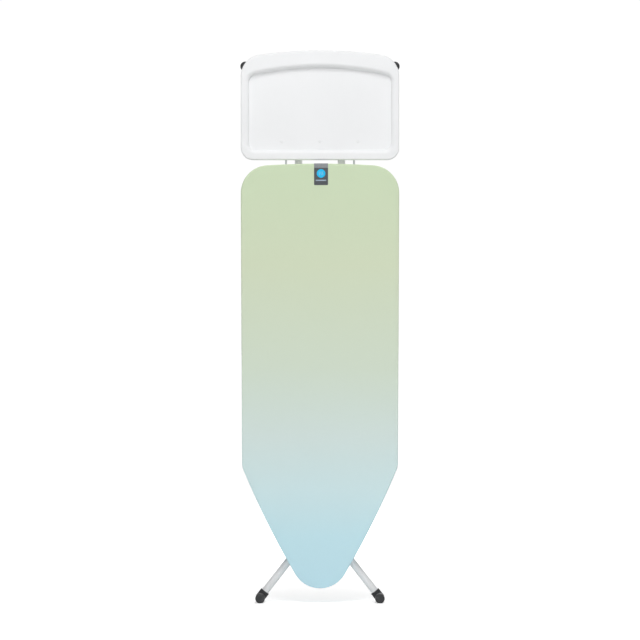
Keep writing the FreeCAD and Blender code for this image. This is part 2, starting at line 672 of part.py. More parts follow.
BEARINGS = {"latch_bearing_nose": 440, "latch_bearing_middle": 712, "latch_bearing_tail": 1176}
BEARING_HALF = 5
latch = body("latch_bar")
rod = sketch(latch, "rod", "XY_Plane", "latch_low")
circle(rod, "latch_x", "leg_y", "latch_od")
pad(latch, rod, "latch_high - latch_low")
blade = sketch(latch, "blade", "XZ_Plane", "-(leg_y - blade_thick/2)")
blade_low = f"{slide_z} - 14"
top_pin = size("fixed_z") - 2 * size("arm_short") * math.cos(math.radians(size("top_angle")))
blade_top = f"{top_pin + 18:.1f}"
rectangle(blade, "latch_x - blade_edge", blade_low, "latch_x - latch_od/2 + 0.5", blade_top)
pad(latch, blade, "blade_thick", back=True)
notches = sketch(latch, "notches", "XZ_Plane", "-(leg_y - blade_thick)")
low_a, high_a = size("low_angle"), size("top_angle")
pin_angles = [0] + [low_a + (high_a - low_a) * k / (HEIGHT_STEPS - 1) for k in range(HEIGHT_STEPS)]
for angle in pin_angles:
    pin_z = size("fixed_z") - 2 * size("arm_short") * math.cos(math.radians(angle))
    rectangle(notches, "latch_x - blade_edge - 1", f"{pin_z:.2f} - axle_od/2 - 0.3",
              "pin_reach + 0.6", f"{pin_z:.2f} + axle_od/2 + 0.3")
nose_bearing = BEARINGS["latch_bearing_nose"]
rectangle(notches, "latch_x - blade_edge - 1", f"{nose_bearing - BEARING_HALF - 1.5}",
          "latch_x - latch_od/2 + 0.13", f"{nose_bearing + BEARING_HALF + 1.5}")
pocket(latch, notches, "2*blade_thick")
bar_turn = FreeCAD.Placement(V(), FreeCAD.Rotation(Z_AXIS, -size("latch_open")),
                             V(size("latch_x"), size("leg_y"), 0))
latch.Placement = bar_turn

grip = body("release_grip")
grip_low = "latch_high - grip_long"
boss = sketch(grip, "boss", "XY_Plane", grip_low)
circle(boss, "latch_x", "leg_y", "latch_od + 8")
pad(grip, boss, "grip_long")
arm = sketch(grip, "arm", "XZ_Plane", "-(leg_y - grip_thick/2)")
polygon(arm, [("latch_x", grip_low), ("latch_x + grip_reach", f"{grip_low} - 10"),
              ("latch_x + grip_reach", "latch_high + 6"), ("latch_x", "latch_high")])
pad(grip, arm, "grip_thick", back=True)
socket = sketch(grip, "socket", "XY_Plane", f"{grip_low} - 1")
circle(socket, "latch_x", "leg_y", "latch_od")
pocket(grip, socket, "60", back=True)
round_edges(grip, lambda e: e.CenterOfMass.x > size("latch_x + grip_reach - 1")
            and e.BoundBox.YLength > size("grip_thick - 0.1"), 10)
grip.Placement = FreeCAD.Placement(V(), FreeCAD.Rotation(Z_AXIS, -6),
                                   V(size("latch_x"), size("leg_y"), 0))

for label, height in BEARINGS.items():
    clip = body(label)
    outline_clip = sketch(clip, "outline", "XY_Plane", f"{height - BEARING_HALF}")
    polygon(outline_clip, [("latch_x - clip_half", rim_back), ("latch_x + clip_foot", rim_back),
                           ("latch_x + clip_foot", f"({rim_back}) + clip_sheet"),
                           ("latch_x + clip_half", f"({rim_back}) + clip_sheet"),
                           ("latch_x + clip_half", "leg_y + clip_half"),
                           ("latch_x - clip_half", "leg_y + clip_half")])
    pad(clip, outline_clip, f"{2 * BEARING_HALF}")
    eye = sketch(clip, "eye", "XY_Plane", f"{height} - 6")
    circle(eye, "latch_x", "leg_y", "latch_od + 2*run_gap")
    pocket(clip, eye, "20", back=True)
    round_edges(clip, lambda e: e.BoundBox.ZLength > 2 * BEARING_HALF - 0.1
                and e.CenterOfMass.y > size("leg_y + clip_half - 0.1"), 4)

bearing_screws = body("bearing_screws")
screw_heads = sketch(bearing_screws, "heads", "XZ_Plane", f"-({rim_back} + clip_sheet)")
for height in BEARINGS.values():
    circle(screw_heads, "latch_x + 15", str(height), "6")
pad(bearing_screws, screw_heads, "1.8", back=True)

# The torsion spring's closed coils round the latch bar, as one plain sleeve.
spring = body("latch_spring")
coil = sketch(spring, "coil", "XY_Plane", "spring_low")
circle(coil, "latch_x", "leg_y", "latch_od + 4.6")
circle(coil, "latch_x", "leg_y", "latch_od + 0.8")
pad(spring, coil, "spring_long")

# ---------------------------------------------------------------- steam-unit tray

def tray_outline(target, inset, low, top, arch, low_round, high_round):
    """Straight sides, rounded corners and an arched top, moved in by the inset."""
    half = size("tray_half") - inset
    arch_centre = V(0, top - arch, 0)
    corner = V(half - high_round, 0, 0)
    corner.y = arch_centre.y + math.sqrt((arch - high_round) ** 2 - corner.x ** 2)
    toward = (corner - arch_centre).normalize()
    arch_angle = math.atan2(toward.y, toward.x)
    parts = [
        Part.ArcOfCircle(Part.Circle(V(half - low_round, low + low_round, 0), Z_AXIS, low_round),
                         -math.pi / 2, 0),
        Part.LineSegment(V(half, low + low_round, 0), V(half, corner.y, 0)),
        Part.ArcOfCircle(Part.Circle(corner, Z_AXIS, high_round), 0, arch_angle),
        Part.ArcOfCircle(Part.Circle(arch_centre, Z_AXIS, arch), arch_angle, math.pi - arch_angle),
        Part.ArcOfCircle(Part.Circle(V(-corner.x, corner.y, 0), Z_AXIS, high_round),
                         math.pi - arch_angle, math.pi),
        Part.LineSegment(V(-half, corner.y, 0), V(-half, low + low_round, 0)),
        Part.ArcOfCircle(Part.Circle(V(low_round - half, low + low_round, 0), Z_AXIS, low_round),
                         math.pi, 3 * math.pi / 2),
        Part.LineSegment(V(low_round - half, low, 0), V(half - low_round, low, 0))]
    first = target.GeometryCount
    for piece in parts:
        target.addGeometry(piece)
    for k in range(len(parts)):
        target.addConstraint(Sketcher.Constraint("Coincident", first + k, 2,
                                                 first + (k + 1) % len(parts), 1))


tray = body("steam_tray")
top_round, low_round = size("tray_shoulder"), size("tray_corner")
side_in, low_in, top_in = size("dish_side"), size("dish_low"), size("dish_top")
arch, dish_arch, lip = size("tray_arch"), size("dish_arch"), size("dish_lip")
low, top = size("tray_low"), size("tray_top")
front_y, skin = size("tray_front"), size("tray_skin")


def dish_outline(target, grow):
    """The dish's own outline, grown outwards by an amount."""
    tray_outline(target, side_in - grow, low + low_in - grow, top - top_in + grow,
                 dish_arch + grow, 18 + grow, 20 + grow)


border = sketch(tray, "border", "XZ_Plane", "-tray_front")
tray_outline(border, 0, low, top, arch, low_round, top_round)
pad(tray, border, "tray_back - tray_front", back=True)
round_edges(tray, lambda e: abs(e.BoundBox.YMax - front_y) < 0.01, 4)
dish = sketch(tray, "dish", "XZ_Plane", "-tray_front")
dish_outline(dish, 0)
pocket(tray, dish, "tray_floor - tray_front")
round_edges(tray, lambda e: abs(e.BoundBox.YMax - front_y) < 0.01 and e.BoundBox.YLength < 0.01
            and abs(e.CenterOfMass.x) < size("tray_half") - 15
            and low + 15 < e.CenterOfMass.z < top - 30, lip)
under = sketch(tray, "under", "XZ_Plane", "-(tray_front + tray_skin)")
tray_outline(under, skin, low + skin, top - skin, arch - skin, low_round - skin, top_round - skin)
dish_outline(under, lip + 1)
pocket(tray, under)
floor_back = sketch(tray, "floor_back", "XZ_Plane", "-(tray_floor + tray_skin)")
dish_outline(floor_back, -skin)
pocket(tray, floor_back)
ribs = sketch(tray, "ribs", "XZ_Plane", "-(tray_floor - rib_high)")
for k in (-1, 0, 1):
    rectangle(ribs, f"{k}*stud_pitch - rib_half", "stud_z - 21", f"{k}*stud_pitch + rib_half", "stud_z + 172")
pad(tray, ribs, "rib_high", back=True)
holes = sketch(tray, "holes", "XZ_Plane", "-(tray_front)")
for k in (-1, 0, 1):
    circle(holes, f"{k}*stud_pitch", "stud_z", "stud_od")
pocket(tray, holes)

screws = body("tray_screws")
shanks = sketch(screws, "shanks", "XZ_Plane", "-(tray_floor - rib_high)")
heads = sketch(screws, "heads", "XZ_Plane", "-(tray_floor - rib_high - 1.6)")
for k in (-1, 0, 1):
    circle(shanks, f"{k}*stud_pitch", "stud_z", "stud_od")
    circle(heads, f"{k}*stud_pitch", "stud_z", "stud_head")
pad(screws, shanks, "8", back=True)
pad(screws, heads, "1.6", back=True)
head_y = size("tray_floor - rib_high - 1.6")
round_edges(screws, lambda e: abs(e.BoundBox.YMax - head_y) < 0.01, 1.2)

strap = body("tray_straps")
bands = sketch(strap, "bands", "XZ_Plane", "-(tray_floor + tray_skin)")
for centre in ("stud_z", "stud_z + 120"):
    rectangle(bands, "-(stud_pitch + 15)", f"{centre} - strap_half", "stud_pitch + 15",
              f"{centre} + strap_half")
pad(strap, bands, "tray_back - tray_floor - tray_skin", back=True)
strap_holes = sketch(strap, "holes", "XZ_Plane", "-tray_front")
for k in (-1, 0, 1):
    circle(strap_holes, f"{k}*stud_pitch", "stud_z", "stud_od")
pocket(strap, strap_holes)

wire_y = f"({rim_back}) + wire_od/2"
wire = body("tray_wire")
wire_path = sketch(wire, "path", "XZ_Plane", f"-({wire_y})")
wire_low, wire_high, wire_x = size("fixed_z - 12"), size("stud_z + wire_past"), size("wire_x")
tube_path(wire_path, [V(-wire_x, wire_low, 0), V(-wire_x, wire_high, 0), V(wire_x, wire_high, 0),
                      V(wire_x, wire_low, 0)], size("wire_bend"))
wire_end = sketch(wire, "end", "XY_Plane", "fixed_z - 12")
circle(wire_end, "-wire_x", wire_y, "wire_od")
pipe(wire, wire_end, wire_path)

clips = body("tray_clips")
saddles = sketch(clips, "saddles", "XY_Plane", "stud_z + 150")
for sign in SIDES.values():
    rectangle(saddles, f"{sign}*wire_x - 11", "tray_floor + tray_skin", f"{sign}*wire_x + 11",
              f"{wire_y} + 5")
pad(clips, saddles, "14")
grooves = sketch(clips, "grooves", "XY_Plane", "stud_z + 149")
for sign in SIDES.values():
    circle(grooves, f"{sign}*wire_x", wire_y, "wire_od")
pocket(clips, grooves, "20", back=True)
round_edges(clips, lambda e: e.BoundBox.ZLength > 13.9 and e.CenterOfMass.y > 4.9, 4)

doc.recompute()

# ---------------------------------------------------------------- checks and export

broken = [o.Label for o in doc.Objects if "Invalid" in o.State or "Error" in o.State]
if broken:
    raise RuntimeError(f"failed to recompute: {broken}")
inputs = {o.Name for part in doc.Objects for o in part.OutList if part.TypeId.startswith("Part::")}
finished = [o for o in doc.Objects if o.Name not in inputs
            and (o.TypeId == "PartDesign::Body" or o.TypeId.startswith("Part::"))]
os.makedirs("parts", exist_ok=True)
for item in finished:
    if item.Shape.isNull() or not item.Shape.isValid():
        raise RuntimeError(f"bad shape: {item.Label}")
    box = item.Shape.optimalBoundingBox(False)
    item.Shape.exportStep(f"parts/{item.Label}.step")
    print(f"{item.Label:24} {len(item.Shape.Solids)} solids {item.Shape.Volume:11.0f} mm3  "
          f"X {box.XMin:7.1f} {box.XMax:7.1f}  Y {box.YMin:6.1f} {box.YMax:6.1f}  "
          f"Z {box.ZMin:7.1f} {box.ZMax:7.1f}")
print(len(finished), "nodes")
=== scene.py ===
# %% [markdown]
# # An ironing board with a steam-unit tray, folded and standing on end
# The steel frame, the legs, the tray and the latch come from the CAD frame and stay as they are.
# Here they get their finishes, and the soft or fine pieces that CAD only stands in for are made:
# the cotton cover, the felt pad, the expanded-steel sheet, the label and the latch spring.

# %% Load the CAD frame
import bmesh
import bpy
import math
from mathutils import Matrix, Vector, noise


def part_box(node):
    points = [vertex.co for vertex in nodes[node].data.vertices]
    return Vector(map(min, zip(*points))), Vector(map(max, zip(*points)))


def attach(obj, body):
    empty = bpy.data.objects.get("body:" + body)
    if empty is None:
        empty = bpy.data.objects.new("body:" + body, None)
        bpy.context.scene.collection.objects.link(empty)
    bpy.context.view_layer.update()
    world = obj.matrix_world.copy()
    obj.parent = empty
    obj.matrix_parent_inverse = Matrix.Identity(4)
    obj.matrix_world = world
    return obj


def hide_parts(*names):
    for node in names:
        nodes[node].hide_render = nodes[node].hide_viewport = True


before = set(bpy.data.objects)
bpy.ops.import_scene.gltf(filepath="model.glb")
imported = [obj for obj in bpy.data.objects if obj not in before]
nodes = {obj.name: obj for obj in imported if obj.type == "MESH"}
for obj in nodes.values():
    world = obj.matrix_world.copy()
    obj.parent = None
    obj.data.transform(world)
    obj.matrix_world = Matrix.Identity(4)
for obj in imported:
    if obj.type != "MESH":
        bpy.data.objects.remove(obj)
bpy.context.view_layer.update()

MM = 0.001

# %% [markdown]
# ## Writing shaders as sums
# A finish is mostly arithmetic on positions and noise. A small class wraps a socket, so that
# an expression such as `1 - mask * 0.3` adds the Math nodes by itself. Every other node comes
# from one method, which takes the node's type, its settings and its inputs.

# %% The socket wrapper
class Wire:
    """A shader socket that is added and multiplied like a number."""

    def __init__(self, finish, socket):
        self.finish = finish
        self.socket = socket

    def calc(self, operation, *values):
        return self.finish.add("ShaderNodeMath", {"operation": operation}, dict(enumerate(values)))

    def __add__(self, other):
        return self.calc("ADD", self, other)

    def __sub__(self, other):
        return self.calc("SUBTRACT", self, other)

    def __rsub__(self, other):
        return self.calc("SUBTRACT", other, self)

    def __mul__(self, other):
        return self.calc("MULTIPLY", self, other)

    def __truediv__(self, other):
        return self.calc("DIVIDE", self, other)

    def sin(self):
        return self.calc("SINE", self)

    def clamp(self):
        return self.finish.add("ShaderNodeClamp", {}, {0: self})


class NodeKit:
    """A node tree that is filled through one method."""

    def __init__(self, tree):
        self.tree = tree

    def add(self, kind, settings, inputs, out=0):
        """A node of this kind, with its settings made first and then its sockets."""
        made = self.tree.nodes.new(kind)
        for key, value in settings.items():
            if key == "stops":
                self.set_stops(made.color_ramp, value)
            else:
                setattr(made, key, value)
        for key, value in inputs.items():
            if isinstance(value, Wire):
                self.tree.links.new(value.socket, made.inputs[key])
            else:
                made.inputs[key].default_value = value
        return Wire(self, made.outputs[out])

    def set_stops(self, ramp, stops):
        for _ in range(len(stops) - len(ramp.elements)):
            ramp.elements.new(0.5)
        for element, (place, colour) in zip(ramp.elements, stops):
            element.position = place
            element.color = (*colour, 1)


class Finish(NodeKit):
    """One material, with the constants of its main shader and the links that vary them."""

    def __init__(self, name, **constants):
        self.material = bpy.data.materials.new(name)
        self.material.use_nodes = True
        super().__init__(self.material.node_tree)
        self.shader = self.tree.nodes["Principled BSDF"]
        for key, value in constants.items():
            self.shader.inputs[key.replace("_", " ")].default_value = value

    def position(self):
        """The object-space position."""
        return self.add("ShaderNodeTexCoord", {}, {}, out="Object")

    def parts(self, place):
        """The x, y and z of a position."""
        return [self.add("ShaderNodeSeparateXYZ", {}, {0: place}, out=k) for k in range(3)]

    def noise(self, place, scale, detail=3.0):
        return self.add("ShaderNodeTexNoise", {}, {"Vector": place, "Scale": scale, "Detail": detail})

    def mix(self, factor, first, second):
        """A colour between two colours."""
        first, second = ((*c, 1) if isinstance(c, tuple) else c for c in (first, second))
        return self.add("ShaderNodeMix", {"data_type": "RGBA"}, {0: factor, 6: first, 7: second}, out=2)

    def scale(self, colour, factor):
        """A colour made lighter or darker."""
        return self.add("ShaderNodeVectorMath", {"operation": "SCALE"}, {0: colour, "Scale": factor})

    def link(self, **sockets):
        for key, value in sockets.items():
            self.tree.links.new(value.socket, self.shader.inputs[key.replace("_", " ")])

    def bump(self, height, distance, strength=1.0):
        self.link(Normal=self.add("ShaderNodeBump", {},
                                  {"Height": height, "Distance": distance, "Strength": strength}))


def linear(red, green, blue):
    """A screen colour from 0 to 255 as linear light."""
    shares = (value / 255 for value in (red, green, blue))
    return tuple(s / 12.92 if s <= 0.04045 else ((s + 0.055) / 1.055) ** 2.4 for s in shares)


print("shader kit ready")

# %% [markdown]
# ## Cotton cover finish
# The cover is plain-woven cotton. Its print fades along the board, from pale green at the
# square end to pale blue at the nose, so a colour ramp follows the height. The weave is two
# sets of threads, which is the product of two sine waves, and a fine noise thickens some of
# the threads, so that it doesn't look ruled. Cotton is matt, with a faint sheen of fibres.

# %% Cotton
COVER_LOW, COVER_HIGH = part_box("cotton_cover")
PRINT = [
    (0.00, linear(200, 236, 248)), (0.12, linear(204, 239, 248)), (0.23, linear(215, 240, 243)),
    (0.36, linear(220, 236, 232)), (0.52, linear(218, 231, 213)), (0.76, linear(216, 227, 198)),
    (1.00, linear(209, 225, 192)),
]
THREAD = 1.0 * MM


def weave(x, y, z, pitch):
    """Height of a plain weave, on faces that look along any axis."""
    turn = math.tau / pitch
    return ((x + y) * turn).sin() * ((z + y) * turn).sin()


def make_cotton():
    cotton = Finish("cover_cotton", Roughness=0.85, Sheen_Weight=0.12, Sheen_Roughness=0.4,
                    Specular_IOR_Level=0.2)
    place = cotton.position()
    x, y, z = cotton.parts(place)
    along = (z - COVER_LOW.z) / (COVER_HIGH.z - COVER_LOW.z)
    cloud = cotton.noise(place, 4.0, 2.0)
    dye = cotton.add("ShaderNodeValToRGB", {"stops": PRINT}, {0: along + (cloud - 0.5) * 0.03})
    threads = weave(x, y, z, THREAD)
    slub = cotton.noise(place, 700.0, 2.0)
    cotton.link(Base_Color=cotton.scale(dye, threads * 0.02 + slub * 0.06 + 0.97))
    cotton.bump(threads * 0.5 + slub * 0.6, 0.12 * MM, 0.6)
    return cotton.material


FINISH = {"cover_cotton": make_cotton()}
print("cotton fades over", round(COVER_HIGH.z - COVER_LOW.z, 3), "m")

# %% [markdown]
# ## Felt and label cloth
# The pad is needled felt of mixed pale fibres. Stretching one noise along the board and
# another across it gives short fibres that lie both ways. The label is a charcoal twill
# ribbon: its diagonal lines are one sine wave of x and z. The part of it that is folded over
# the board's edge is coloured a little lighter, from 13 mm below its top upwards.

# %% Felt, label cloth and thread
LABEL_LOW, LABEL_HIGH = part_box("label_tab")
TWILL_PITCH = 1.1 * MM
SATIN_PITCH = 0.5 * MM
TWIST_PITCH = 0.45 * MM
TOP_BAND_LENGTH = 13 * MM


def make_felt():
    felt = Finish("felt", Roughness=0.95, Sheen_Weight=0.4, Specular_IOR_Level=0.15)
    place = felt.position()
    lengthways = felt.add("ShaderNodeVectorMath", {"operation": "MULTIPLY"}, {0: place, 1: (9, 9, 1.5)})
    across = felt.add("ShaderNodeVectorMath", {"operation": "MULTIPLY"}, {0: place, 1: (1.5, 9, 9)})
    fibres = felt.noise(lengthways, 90.0, 4.0) * 0.5 + felt.noise(across, 110.0, 4.0) * 0.5
    flecks = (felt.noise(place, 420.0, 1.0) - 0.62).clamp() * 4
    pale = felt.mix(fibres, linear(188, 188, 182), linear(240, 239, 232))
    felt.link(Base_Color=felt.mix(flecks.clamp(), pale, linear(120, 124, 130)))
    felt.bump(fibres, 0.8 * MM, 0.8)
    return felt.material


def make_label_cloth():
    label = Finish("label_cloth", Roughness=0.8, Sheen_Weight=0.25, Specular_IOR_Level=0.3)
    place = label.position()
    x, _, z = label.parts(place)
    twill = ((x + z) * (math.tau / TWILL_PITCH)).sin() * 0.5 + 0.5
    # The ribbon's colour is lighter over its top 13 mm, where it folds over the board's edge.
    top_band = ((z - (LABEL_HIGH.z - TOP_BAND_LENGTH)) / (1.5 * MM)).clamp()
    cloud = label.noise(place, 160.0, 3.0)
    base = label.mix(top_band, linear(86, 90, 94), linear(142, 146, 148))
    label.link(Base_Color=label.scale(base, twill * 0.16 + cloud * 0.3 + 0.78))
    label.bump(twill, 0.15 * MM, 0.6)
    return label.material


def make_thread(name, colour):
    thread = Finish(name, Roughness=0.6, Sheen_Weight=0.3)
    x, y, z = thread.parts(thread.position())
    twist = ((x + z + y) * (math.tau / TWIST_PITCH)).sin() * 0.5 + 0.5
    thread.link(Base_Color=thread.scale(colour, twist * 0.15 + 0.87))
    thread.bump(twist, 0.08 * MM, 0.7)
    return thread.material


def make_label_blue():
    blue = Finish("label_blue", Roughness=0.6, Specular_IOR_Level=0.25)
    place = blue.position()
    z = blue.parts(place)[2]
    satin = (z * (math.tau / SATIN_PITCH)).sin() * 0.5 + 0.5
    cloud = blue.noise(place, 500.0, 2.0)
    base = blue.mix(cloud, linear(20, 186, 244), linear(50, 206, 254))
    blue.link(Base_Color=blue.scale(base, satin * 0.1 + 0.93))
    blue.bump(satin, 0.06 * MM, 0.6)
    return blue.material


FINISH |= {"felt": make_felt(), "label_cloth": make_label_cloth(), "label_blue": make_label_blue()}
pale_thread = make_thread("pale_thread", linear(186, 204, 220))
cover_thread = make_thread("cover_thread", linear(206, 214, 200))
print("cloth finishes", len(FINISH) + 2)

# %% [markdown]
# ## Steel finishes
# The frame and legs are powder coated: white, slightly glossy, with the fine orange peel that
# the melted powder leaves. Zinc plate, on fasteners, pins and wire, is bright metal whose
# roughness changes in soft patches, with fine drawn lines. The expanded sheet under the felt
# is galvanised, so it is duller and shows spangle, which is a Voronoi pattern.

# %% Powder coat, zinc and galvanised sheet
def make_white_steel():
    coat = Finish("white_steel", Coat_Roughness=0.2, Specular_IOR_Level=0.5)
    place = coat.position()
    peel = coat.noise(place, 650.0, 2.0)
    cloud = coat.noise(place, 7.0, 3.0)
    scuff = ((coat.noise(place, 38.0, 6.0) - 0.66) * 9).clamp()
    base = coat.mix(cloud, linear(232, 233, 234), linear(243, 244, 245))
    coat.link(Base_Color=coat.mix(scuff * 0.35, base, linear(196, 196, 192)),
              Roughness=cloud * 0.14 + scuff * 0.2 + 0.26, Coat_Weight=0.3 - scuff * 0.25)
    coat.bump(peel, 0.05 * MM, 0.5)
    return coat.material


def make_zinc():
    zinc = Finish("zinc_steel", Metallic=1.0)
    place = zinc.position()
    patch = zinc.noise(place, 60.0, 4.0)
    drawn = zinc.add("ShaderNodeVectorMath", {"operation": "MULTIPLY"}, {0: place, 1: (30, 30, 1)})
    lines = zinc.noise(drawn, 90.0, 2.0)
    zinc.link(Base_Color=zinc.mix(patch, linear(176, 180, 184), linear(214, 216, 216)),
              Roughness=patch * 0.2 + lines * 0.12 + 0.16)
    zinc.bump(lines, 0.03 * MM, 0.4)
    return zinc.material


def make_mesh_steel():
    sheet = Finish("mesh_steel", Metallic=0.85)
    place = sheet.position()
    spangle = sheet.add("ShaderNodeTexVoronoi", {}, {"Vector": place, "Scale": 160.0}, out="Color")
    share = sheet.add("ShaderNodeSeparateColor", {}, {0: spangle})
    sheet.link(Base_Color=sheet.mix(share, linear(150, 154, 158), linear(200, 203, 205)),
               Roughness=share * 0.2 + 0.38)
    sheet.bump(sheet.noise(place, 400.0, 2.0), 0.05 * MM, 0.5)
    return sheet.material


FINISH |= {"white_steel": make_white_steel(), "zinc_steel": make_zinc(), "mesh_steel": make_mesh_steel()}
print("steel finishes made, total", len(FINISH))

# %% [markdown]
# ## Plastic and rubber
# The tray is one white moulding with a fine matt texture, the sort that hides flow marks, so
# its bump is a dense noise and its roughness changes slightly. The shoes, bearings, plugs and
# grip are mid-grey moulded plastic. The foot caps are dark soft plastic, and hold some dust
# in soft patches.

# %% Moulded plastics and rubber
def make_plastic(name, dark, light, roughness, grain):
    plastic = Finish(name, Specular_IOR_Level=0.45)
    place = plastic.position()
    cloud = plastic.noise(place, 5.0, 3.0)
    spark = plastic.noise(place, grain, 2.0)
    plastic.link(Base_Color=plastic.mix(cloud * 0.7 + spark * 0.3, dark, light),
                 Roughness=cloud * 0.08 + spark * 0.1 + roughness)
    plastic.bump(spark, 0.06 * MM, 0.4)
    return plastic.material


def make_rubber():
    rubber = Finish("dark_rubber", Specular_IOR_Level=0.35)
    place = rubber.position()
    grain = rubber.noise(place, 480.0, 3.0)
    dust = (rubber.noise(place, 60.0, 5.0) - 0.45).clamp() * 2
    rubber.link(Base_Color=rubber.mix(dust.clamp() * 0.3, linear(58, 59, 61), linear(114, 114, 112)),
                Roughness=grain * 0.2 + 0.5)
    rubber.bump(grain, 0.15 * MM, 0.5)
    return rubber.material


FINISH |= {
    "white_plastic": make_plastic("white_plastic", linear(236, 237, 238), linear(246, 247, 248),
                                  0.36, 900.0),
    "grey_plastic": make_plastic("grey_plastic", linear(118, 121, 124), linear(136, 139, 142),
                                 0.4, 700.0),
    "dark_rubber": make_rubber(),
}
for piece in nodes.values():
    for slot in piece.material_slots:
        slot.material = FINISH[slot.material.name]
print("CAD nodes finished:", len(nodes))

# %% [markdown]
# ## Taking an outline from the frame
# The cover, the felt and the steel sheet share the board's outline, a long curved nose and a
# squarer tail. Drawing it again would drift from the frame, so each piece starts from the
# front face of its own CAD node. That face is joined into one polygon, and its long straight
# edges are divided, so that cloth made from it can bend.

# %% Outline helpers
def merged(node):
    """A copy of a CAD node's mesh with its loose triangles joined."""
    shape = bmesh.new()
    shape.from_mesh(nodes[node].data)
    bmesh.ops.remove_doubles(shape, verts=shape.verts, dist=0.01 * MM)
    return shape


def front_face(node, step):
    """The front of a CAD node as one polygon with points at most a step apart."""
    shape = merged(node)
    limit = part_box(node)[0].y + 0.1 * MM
    others = [f for f in shape.faces if f.normal.y > -0.99 or f.calc_center_median().y > limit]
    bmesh.ops.delete(shape, geom=others, context="FACES")
    bmesh.ops.dissolve_faces(shape, faces=shape.faces[:])
    for edge in [e for e in shape.edges if e.calc_length() > step]:
        bmesh.ops.subdivide_edges(shape, edges=[edge], cuts=int(edge.calc_length() / step))
    return shape


def cut_across(shape, faces, direction, pitch):
    """Cut these faces by parallel planes a pitch apart, and give the faces that result."""
    heights = [v.co.dot(direction) for f in faces for v in f.verts]
    count = int(min(heights) / pitch) - 1
    while count * pitch < max(heights):
        geometry = [*{v for f in faces for v in f.verts}, *{e for f in faces for e in f.edges}, *faces]
        cut = bmesh.ops.bisect_plane(shape, geom=geometry, dist=0.001 * MM,
                                     plane_co=direction * (count * pitch), plane_no=direction)
        faces = [f for f in cut["geom"] if isinstance(f, bmesh.types.BMFace)]
        count += 1
    return faces


def finished(shape, name, finish, *modifiers):
    """Make the object, smooth it, and add its modifiers as (type, settings)."""
    mesh = bpy.data.meshes.new(name)
    shape.to_mesh(mesh)
    shape.free()
    mesh.shade_smooth()
    mesh.materials.append(finish)
    piece = bpy.data.objects.new(name, mesh)
    bpy.context.scene.collection.objects.link(piece)
    for kind, settings in modifiers:
        modifier = piece.modifiers.new(kind.title(), kind)
        for key, value in settings.items():
            setattr(modifier, key, value)
    print(name, len(mesh.polygons), "faces")
    return piece


SMOOTHER = ("SUBSURF", {"levels": 1, "render_levels": 1})

# %% [markdown]
# ## The cotton cover
# The cover is cut larger than the board and pulled round its edge, where a hem gathers it
# behind the rim tube. It could be simulated, but it is stretched tight, so it has almost no
# drape: building it ring by ring keeps the front flat and puts the gathers where the elastic
# makes them. The front polygon gives the outline. Its edge is extruded back over the rim and
# then inwards, and every point remembers how far round the board and how far over the edge it
# lies, so that the gathers can be waves along the hem that grow towards its free edge.

# %% Extruding a cloth edge
INSIDE = Vector((0, 0, 0.66))  # a point well inside the outline


def outline_lengths(shape, face):
    """Store each outline point's distance round the board, and give the whole way round."""
    along = shape.verts.layers.float.new("along")
    shape.verts.layers.float.new("over")
    walked = 0.0
    corners = face.verts[:]
    for point, after in zip(corners, corners[1:] + corners[:1]):
        point[along] = walked
        walked += (after.co - point.co).length
    return walked


def open_edges(shape):
    return [e for e in shape.edges if e.is_boundary]


def extend(shape, steps):
    """Extrude the open edge; each step goes inwards over the board, and backwards."""
    over = shape.verts.layers.float["over"]
    for inward, backward in steps:
        rim = open_edges(shape)
        centre_of = {}
        for edge in rim:
            side = edge.verts[1].co - edge.verts[0].co
            way = Vector((side.z, 0, -side.x)).normalized()
            if way.dot(edge.verts[0].co - INSIDE) > 0:
                way.negate()
            for point in edge.verts:
                centre_of[tuple(point.co)] = centre_of.get(tuple(point.co), Vector()) + way
        made = bmesh.ops.extrude_edge_only(shape, edges=rim)
        for point in (g for g in made["geom"] if isinstance(g, bmesh.types.BMVert)):
            way = centre_of[tuple(point.co)].normalized()
            point[over] += inward + backward
            point.co += way * inward + Vector((0, backward, 0))


# Steps as (inwards, backwards).
WALL = [(0, 5.5 * MM)] + [(0, 4.5 * MM)] * 4
TURN = [(0.5 * MM, 2.4 * MM), (1.3 * MM, 1.7 * MM), (2.2 * MM, 0.9 * MM)]
HEM = [(4 * MM, 0.2 * MM)] * 6
print("hem width", round(sum(step[0] for step in TURN + HEM), 4))

# %% Cover mesh
OUTLINE_STEP = 9 * MM
EDGE_BAND = 9 * MM
EDGE_ROUND = 4 * MM
CLOTH_GRID = 14 * MM
PUCKERS = 171
GATHER_START = 24 * MM
GATHER_LENGTH = 28 * MM
PUCKER_HEIGHT = 0.9 * MM
UNEVEN_FRONT = 0.25 * MM
HEM_SEAM = 49 * MM
SEAM_REACH = 1.5 * MM


def make_cover():
    shape = front_face("cotton_cover", OUTLINE_STEP)
    front = shape.faces[:][0]
    around = outline_lengths(shape, front)
    bmesh.ops.inset_region(shape, faces=[front], thickness=EDGE_BAND, use_even_offset=True)
    extend(shape, WALL + TURN + HEM)
    level = COVER_LOW.y + 0.1 * MM
    corner = [e for e in shape.edges if not e.is_boundary and all(v.co.y < level for v in e.verts)
              and any(abs(f.normal.y) < 0.5 for f in e.link_faces)]
    bmesh.ops.bevel(shape, geom=corner, offset=EDGE_ROUND, segments=3, profile=0.5, affect="EDGES",
                    material=-1, clamp_overlap=True)
    front = max(shape.faces, key=lambda f: f.calc_area())
    columns = cut_across(shape, [front], Vector((1, 0, 0)), CLOTH_GRID)
    cut_across(shape, columns, Vector((0, 0, 1)), CLOTH_GRID)
    return shape, around


